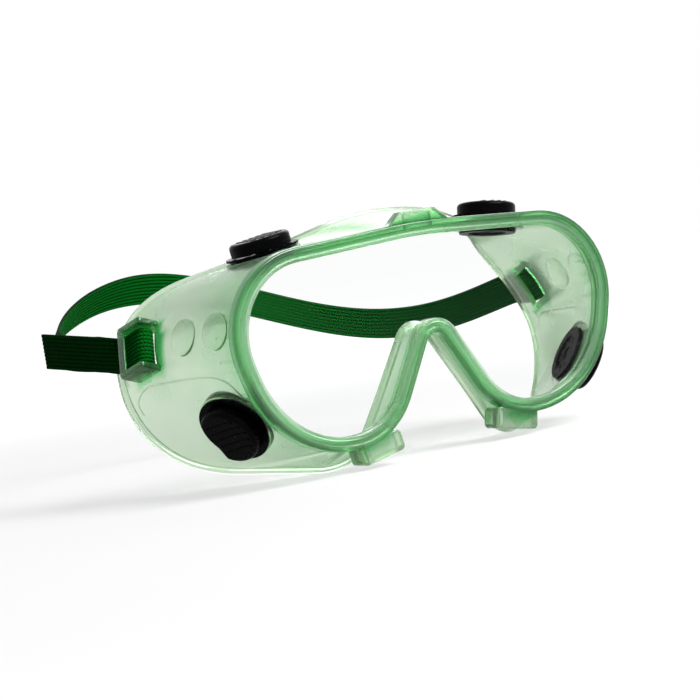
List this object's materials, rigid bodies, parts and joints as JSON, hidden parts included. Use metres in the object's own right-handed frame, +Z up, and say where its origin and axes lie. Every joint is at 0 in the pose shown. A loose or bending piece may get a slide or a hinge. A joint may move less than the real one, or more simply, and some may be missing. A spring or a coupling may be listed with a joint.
{
  "type": "safety goggles",
  "caption": "Soft green safety goggles with a clear flat lens, round black indirect vents whose caps turn, and a green elastic head strap that stretches.",
  "frame": {"origin": "middle of the face opening on the symmetry plane, at the depth of the middle of the rim's brow", "axes": "+X to the right as seen from the front, +Y from the lens towards the wearer, +Z up as worn"},
  "size_m": [0.1921, 0.1682, 0.0839],
  "materials": {
    "mask": "soft translucent green moulded vinyl, slightly glossy",
    "lens": "clear polycarbonate sheet",
    "vent": "black moulded plastic",
    "strap": "dark green ribbed elastic webbing"
  },
  "bodies": {
    "mask": {"frame_body": "mask", "lens": "lens", "vent_seat_brow_left": "vent", "vent_seat_brow_right": "vent", "vent_seat_cheek_left": "vent", "vent_seat_cheek_right": "vent", "strap_side_left": "strap", "strap_side_right": "strap"},
    "cap_brow_left": {"vent_cap_brow_left": "vent"},
    "cap_brow_right": {"vent_cap_brow_right": "vent"},
    "cap_cheek_left": {"vent_cap_cheek_left": "vent"},
    "cap_cheek_right": {"vent_cap_cheek_right": "vent"},
    "strap_rear": {"strap_rear": "strap"},
    "tail_left": {"strap_tail_left": "strap"},
    "tail_right": {"strap_tail_right": "strap"}
  },
  "joints": [
    {"name": "turn_cap_brow_left", "type": "hinge", "parent": "mask", "child": "cap_brow_left", "pos_m": [-0.04641, 0.00053, 0.03033], "axis": [-0.1611, 0.0046, 0.9869], "continuous": true},
    {"name": "turn_cap_brow_right", "type": "hinge", "parent": "mask", "child": "cap_brow_right", "pos_m": [0.04641, 0.00053, 0.03033], "axis": [0.1611, 0.0046, 0.9869], "continuous": true},
    {"name": "turn_cap_cheek_left", "type": "hinge", "parent": "mask", "child": "cap_cheek_left", "pos_m": [-0.07078, -0.00652, -0.02198], "axis": [-0.7888, -0.3033, -0.5346], "continuous": true},
    {"name": "turn_cap_cheek_right", "type": "hinge", "parent": "mask", "child": "cap_cheek_right", "pos_m": [0.07078, -0.00652, -0.02198], "axis": [0.7888, -0.3033, -0.5346], "continuous": true},
    {"name": "strap_stretch", "type": "slide", "parent": "mask", "child": "strap_rear", "axis": [0, 1, 0], "range_m": [0, 0.06], "stiffness_N_per_m": 60, "deforming": ["strap_side_left", "strap_side_right"]},
    {"name": "tail_left_lift", "type": "hinge", "parent": "mask", "child": "tail_left", "pos_m": [-0.08734, 0.03231, 0.00506], "axis": [0.1651, 0.2167, 0.9622], "range_deg": [0, 40], "stiffness_Nm_per_rad": 0.002},
    {"name": "tail_right_lift", "type": "hinge", "parent": "mask", "child": "tail_right", "pos_m": [0.08735, 0.03234, 0.0047], "axis": [0.1651, -0.2167, -0.9622], "range_deg": [0, 40], "stiffness_Nm_per_rad": 0.002}
  ]
}
